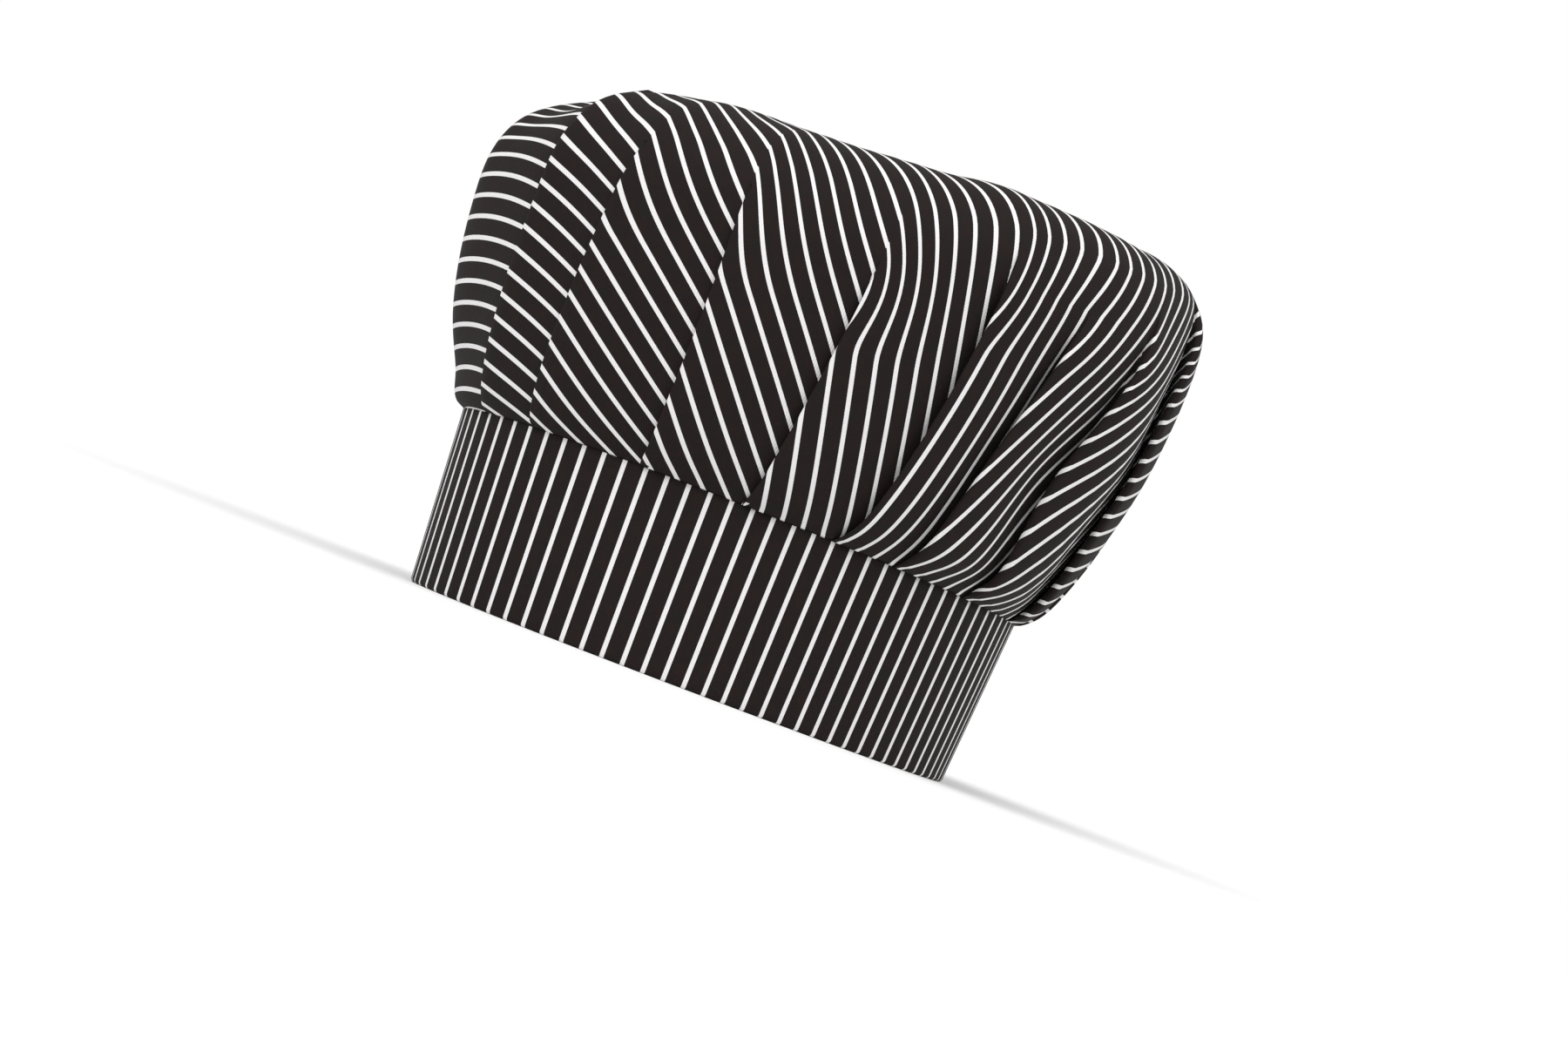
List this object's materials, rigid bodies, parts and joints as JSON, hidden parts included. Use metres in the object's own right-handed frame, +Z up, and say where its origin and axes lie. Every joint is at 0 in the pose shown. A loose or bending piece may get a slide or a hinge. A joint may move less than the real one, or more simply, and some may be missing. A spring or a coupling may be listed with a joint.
{
  "type": "chef hat",
  "caption": "Soft cook's hat: a round crown knife pleated all round into a straight folded head band, open below for the head.",
  "frame": {"origin": "middle of the head opening, in the plane of the band's lower edge on which the hat stands", "axes": "+Z up through the crown, -Y where the wearer faces, +X towards the wearer's left ear"},
  "size_m": [0.2237, 0.2665, 0.2014],
  "materials": {
    "striped_cloth": "matt black woven cloth with narrow white stripes"
  },
  "bodies": {
    "root": {"band": "striped_cloth", "crown": "striped_cloth"}
  },
  "joints": []
}
